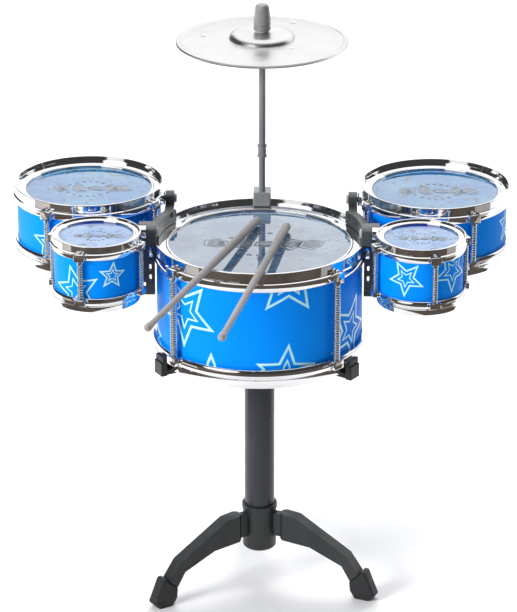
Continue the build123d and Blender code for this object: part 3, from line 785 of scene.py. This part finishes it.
def head_print(drum, size):
    """Plain decoration on the head: broken shards in a row, and ovals round them."""
    radius = drum.head
    lift = (-size["recess"] - 0.1) * MM
    middle = at(size["x"], size["y"], size["top"])
    made = Shape()
    for k, across in enumerate((-0.46, -0.17, 0.10, 0.36, 0.57)):
        wide = radius * (0.125 if k % 2 else 0.155)
        tall = radius * (0.15 + 0.05 * sin(2.3 * k))
        spot = Vector((across * radius * MM, 0.03 * radius * sin(3.1 * k) * MM, lift))
        place = middle @ Matrix.Translation(spot)
        made.add(flat_patch(shard(k + radius, 0.72 * wide, 0.66 * tall), INK), place)
        made.add(flat_ring(shard(k + radius, wide, tall), 0.018 * radius, INK), place)
    for row, height in ((1, 0.34), (-1, -0.36)):
        for k in range(9):
            along = (k - 4) * 0.105 * radius
            sag = height * radius - row * 0.02 * (k - 4) ** 2 * radius
            spot = Matrix.Translation((along * MM, sag * MM, lift))
            oval = [(0.032 * radius * cos(pi * c / 5), 0.021 * radius * sin(pi * c / 5))
                    for c in range(10)]
            made.add(flat_ring(oval, 0.009 * radius, INK), middle @ spot)
    piece(drum.name + "_head_print", made, MARK, body_of(drum))


def shell(drum, size):
    radius = size["shell"]
    low = -size["height"] + SEAT
    high = -size["recess"] - HEAD_THICKNESS
    profile = eased_outline([
        (radius - SHELL_WALL, low, 0.4), (radius, low, 0.4),
        (radius, high, 0.4), (radius - SHELL_WALL, high, 0.4),
    ])
    made = Shape().add(lathe(profile), at(size["x"], size["y"], size["top"]))
    piece(drum.name + "_blue_shell", made, BLUE, body_of(drum),
          [drum.name + "_shell"])


def build_drum(drum):
    size = drum_frame(drum)
    upper_hoop(drum, size)
    lower_hoop(drum, size)
    tension_rods(drum, size)
    shell(drum, size)
    stars(drum, size)
    head(drum, size)
    head_print(drum, size)


for one in DRUMS:
    build_drum(one)

# ---------------------------------------------------------------- other pieces
for node in ("left_side_bracket", "right_side_bracket", "cymbal_rod_clamp", "cymbal_clamp_screw"):
    eased_copy(node, BRACKET if "side" in node else CLAMP, 0.6)
for side in ("left", "right"):
    for size_name in ("large", "small"):
        eased_copy(f"{side}_{size_name}_tom_pin", PIN, 0.3)
    eased_copy(f"{side}_drumstick", STICK, 0.2)
for node in ("cymbal_rod_lower", "cymbal_rod_coupler", "cymbal_rod_upper"):
    eased_copy(node, ROD, 0.2)
eased_copy("cymbal_nut", NUT, 0.3)
eased_copy("cymbal_lower_washer", RUBBER, 0.2)
eased_copy("cymbal_upper_washer", WASHER, 0.2)
for node in ("drum_spider", "tripod_hub", "left_leg", "right_leg", "rear_leg"):
    eased_copy(node, STAND, 0.8)
for node in ("left_foot", "right_foot", "rear_foot"):
    eased_copy(node, FOOT, 1.0)
eased_copy("stand_tube", TUBE, 0.3)


def cymbal():
    """Plated disc: a flat-topped bell with a hard corner at its foot, a bow and a rolled rim."""
    low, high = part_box("cymbal")
    inside_box = 0.02
    reach = (high.x - low.x) / 2 / MM - inside_box
    deep = (high.z - low.z) / MM
    # (radius, height) in mm, heights from the top of the bell
    profile = [(4.6, -0.3), (4.9, -0.02), (5.3, 0), (7, 0), (16, 0), (24.4, 0), (25.6, -0.02)]
    profile += bulge((25.6, -0.02), (34.0, -6.6), -2.1)[1:]
    profile += [(34.3, -6.7), (35, -6.72), (47, -6.85), (60, -7.3), (72, -7.95), (80.5, -8.8)]
    profile += [(82.6, -9.2), (83.3, -9.0), (84.2, -8.3), (85.6, -8.25), (reach - 0.9, -9.0)]
    profile += [(reach, -10.2), (reach - 0.3, -deep + 0.6), (reach - 0.9, -deep)]
    profile += [(84.6, -deep), (82.6, -10.8), (72, -9.4), (60, -8.7), (36, -8.0), (33.4, -7.4)]
    profile += bulge((33.0, -7.3), (25.2, -1.5), 1.7)
    profile += [(4.6, -1.5)]
    made = Shape().add(lathe(profile, segments=192), at(
        (low.x + high.x) / 2, (low.y + high.y) / 2, high.z))
    piece("cymbal_plate", made, CYMBAL, "cymbal", ["cymbal"], sharp=30)


def cymbal_marks():
    """Three shallow moulded dots on the bow."""
    low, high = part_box("cymbal")
    centre = Vector(((low.x + high.x) / 2, (low.y + high.y) / 2, high.z))
    made = Shape()
    for x, y in ((-60, 10), (31, 60), (31, -33)):
        reach = sqrt(x * x + y * y)
        height = -6.7 - 0.00018 * (reach - 35) ** 2 * 3.4
        dot = lathe(eased_outline([(0, -0.6), (3.2, -0.6), (3.2, 0.25, 0.2), (2.2, 0.25, 0.2),
                                   (1.8, 0.05), (0, 0.05)]), segments=24)
        made.add(dot, Matrix.Translation(centre + Vector((x * MM, y * MM, height * MM))))
    piece("cymbal_dots", made, CHROME, "cymbal")


cymbal()
cymbal_marks()


# ---------------------------------------------------------------- stage, light and camera
def stage_finish(name, colour, roughness):
    made = Finish(name, Roughness=roughness)
    made.mottle(colour, tuple(0.98 * c for c in colour), 1.5, 2)
    return made.material


def floor():
    mesh = bpy.data.meshes.new("studio_floor")
    reach = 9
    mesh.from_pydata([(-reach, -reach, 0), (reach, -reach, 0), (reach, reach, 0), (-reach, reach, 0)],
                     [], [(0, 1, 2, 3)])
    obj = bpy.data.objects.new("studio_floor", mesh)
    bpy.context.scene.collection.objects.link(obj)
    mesh.materials.append(stage_finish("floor_pale", (0.93, 0.93, 0.93), 0.8))


def dark_surround():
    """Dark and grey sheets on the floor, seen only in mirrors, so that the plating shows bands."""
    near, middle, far = 0.40, 0.75, 8.5
    dark = ((0.040, 0.030, 0.024), (0.085, 0.070, 0.058))
    grey = ((0.30, 0.28, 0.26), (0.36, 0.34, 0.32))
    floor_fan("surround_middle", (-66, 70), (near, far), dark)
    floor_fan("surround_near_left", (-106, -66), (near, middle), dark)
    floor_fan("surround_near_right", (70, 106), (near, middle), dark)
    floor_fan("surround_left", (-92, -66), (middle, far), grey)
    floor_fan("surround_right", (70, 96), (middle, far), grey)


def floor_fan(name, headings, reaches, tints):
    """A flat ring sector from one heading and reach to another, seen by mirrors alone."""
    steps = 24
    height = 0.002
    start, end = headings
    points = []
    for k in range(steps + 1):
        turn = radians(start + (end - start) * k / steps)
        for reach in reaches:
            points.append((reach * sin(turn), -reach * cos(turn), height))
    faces = [(2 * k, 2 * k + 1, 2 * k + 3, 2 * k + 2) for k in range(steps)]
    mesh = bpy.data.meshes.new(name)
    mesh.from_pydata(points, [], faces)
    obj = bpy.data.objects.new(name, mesh)
    bpy.context.scene.collection.objects.link(obj)
    made = Finish(name, Roughness=1.0)
    made.mottle(*tints, 1.7, 2)
    mesh.materials.append(made.material)
    obj.visible_camera = False
    obj.visible_diffuse = False
    obj.visible_shadow = False
    obj.visible_transmission = False


def area_light(name, place, aim, size, power):
    """A soft light that plating does not mirror."""
    light = bpy.data.lights.new(name, "AREA")
    light.shape = "RECTANGLE"
    light.size, light.size_y = size
    light.energy = power
    obj = bpy.data.objects.new(name, light)
    obj.location = place
    obj.rotation_euler = (Vector(aim) - Vector(place)).to_track_quat("-Z", "Y").to_euler()
    obj.visible_glossy = False
    bpy.context.scene.collection.objects.link(obj)


class Sky:
    """The studio: white to the camera, and to all else a bright back and roof and a dark front."""

    def __init__(self):
        world = bpy.data.worlds.new("studio")
        bpy.context.scene.world = world
        world.use_nodes = True
        self.tree = world.node_tree
        self.way = self.tree.nodes.new("ShaderNodeTexCoord").outputs["Generated"]
        roof = self.ramp(self.towards(heading=180, height=76), start=0.63, end=0.73)
        back = self.ramp(self.flat_towards(heading=155), start=0.55, end=0.66)
        soft_box = self.ramp(self.towards(heading=-40, height=20), start=0.935, end=0.955)
        bright = self.combine("MAXIMUM", self.combine("MAXIMUM", roof, back), soft_box)
        rays = self.tree.nodes.new("ShaderNodeLightPath")
        level = self.ramp(rays.outputs["Is Glossy Ray"], 0, 1, low=0.88, high=1.28)
        rise = self.ramp(self.towards(heading=0, height=90), 0.02, 0.30, low=0.60, high=1.0)
        glow = self.combine("MULTIPLY", self.combine("MULTIPLY", bright, rise), level)
        darkest = 0.045
        dim = self.combine("MAXIMUM", glow, darkest)
        strength = self.combine("MAXIMUM", dim, rays.outputs["Is Camera Ray"])
        background = self.tree.nodes["Background"]
        background.inputs["Color"].default_value = (1, 1, 1, 1)
        self.tree.links.new(strength, background.inputs["Strength"])

    def combine(self, operation, first, second):
        made = self.tree.nodes.new("ShaderNodeMath")
        made.operation = operation
        self.tree.links.new(first, made.inputs[0])
        if isinstance(second, float):
            made.inputs[1].default_value = second
        else:
            self.tree.links.new(second, made.inputs[1])
        return made.outputs[0]

    def ramp(self, value, start, end, low=0.0, high=1.0):
        made = self.tree.nodes.new("ShaderNodeMapRange")
        made.interpolation_type = "SMOOTHSTEP"
        for socket, number in zip(("From Min", "From Max", "To Min", "To Max"),
                                  (start, end, low, high)):
            made.inputs[socket].default_value = number
        self.tree.links.new(value, made.inputs["Value"])
        return made.outputs["Result"]

    def closeness(self, way, axis):
        made = self.tree.nodes.new("ShaderNodeVectorMath")
        made.operation = "DOT_PRODUCT"
        self.tree.links.new(way, made.inputs[0])
        made.inputs[1].default_value = axis
        return made.outputs["Value"]

    def towards(self, heading, height):
        """How nearly a ray points to a heading (from -Y towards +X) and a height, in degrees."""
        turn, rise = radians(heading), radians(height)
        axis = (sin(turn) * cos(rise), -cos(turn) * cos(rise), sin(rise))
        return self.closeness(self.way, axis)

    def flat_towards(self, heading):
        """The same for the level part of the ray alone."""
        level = self.tree.nodes.new("ShaderNodeVectorMath")
        level.operation = "MULTIPLY"
        self.tree.links.new(self.way, level.inputs[0])
        level.inputs[1].default_value = (1, 1, 0)
        unit = self.tree.nodes.new("ShaderNodeVectorMath")
        unit.operation = "NORMALIZE"
        self.tree.links.new(level.outputs[0], unit.inputs[0])
        turn = radians(heading)
        return self.closeness(unit.outputs[0], (sin(turn), -cos(turn), 0))


def camera():
    """The photograph's view: a long lens, 22 degrees above the floor, a touch to the right."""
    azimuth, elevation, distance = radians(1.4), radians(22.3), 2.9
    aim_height, aim_left = 0.31, 0.0011
    low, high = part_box("stand_tube")
    column = Vector(((low.x + high.x) / 2, (low.y + high.y) / 2, aim_height))
    right = Vector((cos(azimuth), sin(azimuth), 0))
    back = Vector((sin(azimuth) * cos(elevation), -cos(azimuth) * cos(elevation), sin(elevation)))
    target = column - right * aim_left
    data = bpy.data.cameras.new("photo_view")
    data.lens = 167.2
    obj = bpy.data.objects.new("photo_view", data)
    obj.location = target + back * distance
    obj.rotation_euler = (-back).to_track_quat("-Z", "Y").to_euler()
    bpy.context.scene.collection.objects.link(obj)
    bpy.context.scene.camera = obj


floor()
dark_surround()
Sky()
area_light("key", place=(-2.5, -1.7, 1.5), aim=(0, 0, 0.3), size=(1.2, 1.2), power=104)
area_light("back", place=(0, 3.2, 3.4), aim=(0, 1.2, 0), size=(3, 3), power=150)
camera()
bpy.context.scene.view_settings.view_transform = "Standard"
